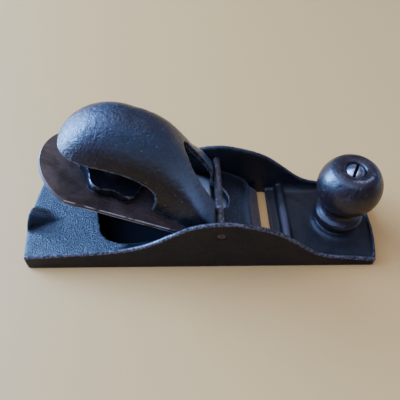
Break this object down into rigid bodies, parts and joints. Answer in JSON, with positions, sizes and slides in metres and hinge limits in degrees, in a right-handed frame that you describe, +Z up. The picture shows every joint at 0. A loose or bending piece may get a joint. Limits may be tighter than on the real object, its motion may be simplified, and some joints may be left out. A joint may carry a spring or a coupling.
{
  "type": "hand plane",
  "caption": "Low-angle block plane: cast iron body with arched cheeks, hooded lever cap, clamp wheel, bevel-up iron and a turned wooden front knob.",
  "frame": {"origin": "centre of the flat sole, under the middle of the body's length and width", "axes": "+X along the plane to the toe (the front knob's end), +Y to the right side seen from the knob's end looking back, +Z up from the sole"},
  "size_m": [0.178, 0.0508, 0.0778],
  "materials": {
    "worn_cast_iron": "old black finish, worn bright on edges, rough cast inside",
    "lever_cap_iron": "worn black finish, rubbed smooth, small casting pits",
    "wheel_iron": "dark, rubbed bright on the lobes",
    "patinated_steel": "brown patina with rubbed edges",
    "rod_steel": "dull, lightly rusted",
    "screw_steel": "satin, worn",
    "dark_wood": "dark glossy finish, handled"
  },
  "bodies": {
    "body": {"body_casting": "worn_cast_iron", "cross_pin": "rod_steel", "front_knob": "dark_wood", "knob_screw": "screw_steel"},
    "iron": {"cutter_iron": "patinated_steel"},
    "cap": {"lever_cap": "lever_cap_iron"},
    "stud": {"clamp_stud": "rod_steel"},
    "wheel": {"clamp_wheel": "wheel_iron"}
  },
  "joints": [
    {"name": "iron_slide", "type": "slide", "parent": "body", "child": "iron", "axis": [0.8988, 0, -0.4384], "range_m": [-0.012, 0.0034]},
    {"name": "wheel_turn", "type": "hinge", "parent": "stud", "child": "wheel", "pos_m": [-0.04207, 0.0006, 0.04066], "axis": [0.4384, 0, 0.8988], "range_deg": [0, 450]},
    {"name": "stud_travel", "type": "slide", "parent": "cap", "child": "stud", "axis": [0.4384, 0, 0.8988], "range_m": [0, 0.0016]},
    {"name": "cap_rock", "type": "hinge", "parent": "body", "child": "cap", "pos_m": [0.007, 0, 0.026], "axis": [0, -1, 0], "range_deg": [0, 1.7]}
  ],
  "couplings": [
    {"joint": "stud_travel", "follows": "wheel_turn", "m_per_rad": 0.00020213},
    {"joint": "cap_rock", "follows": "wheel_turn", "ratio": 0.0036}
  ]
}
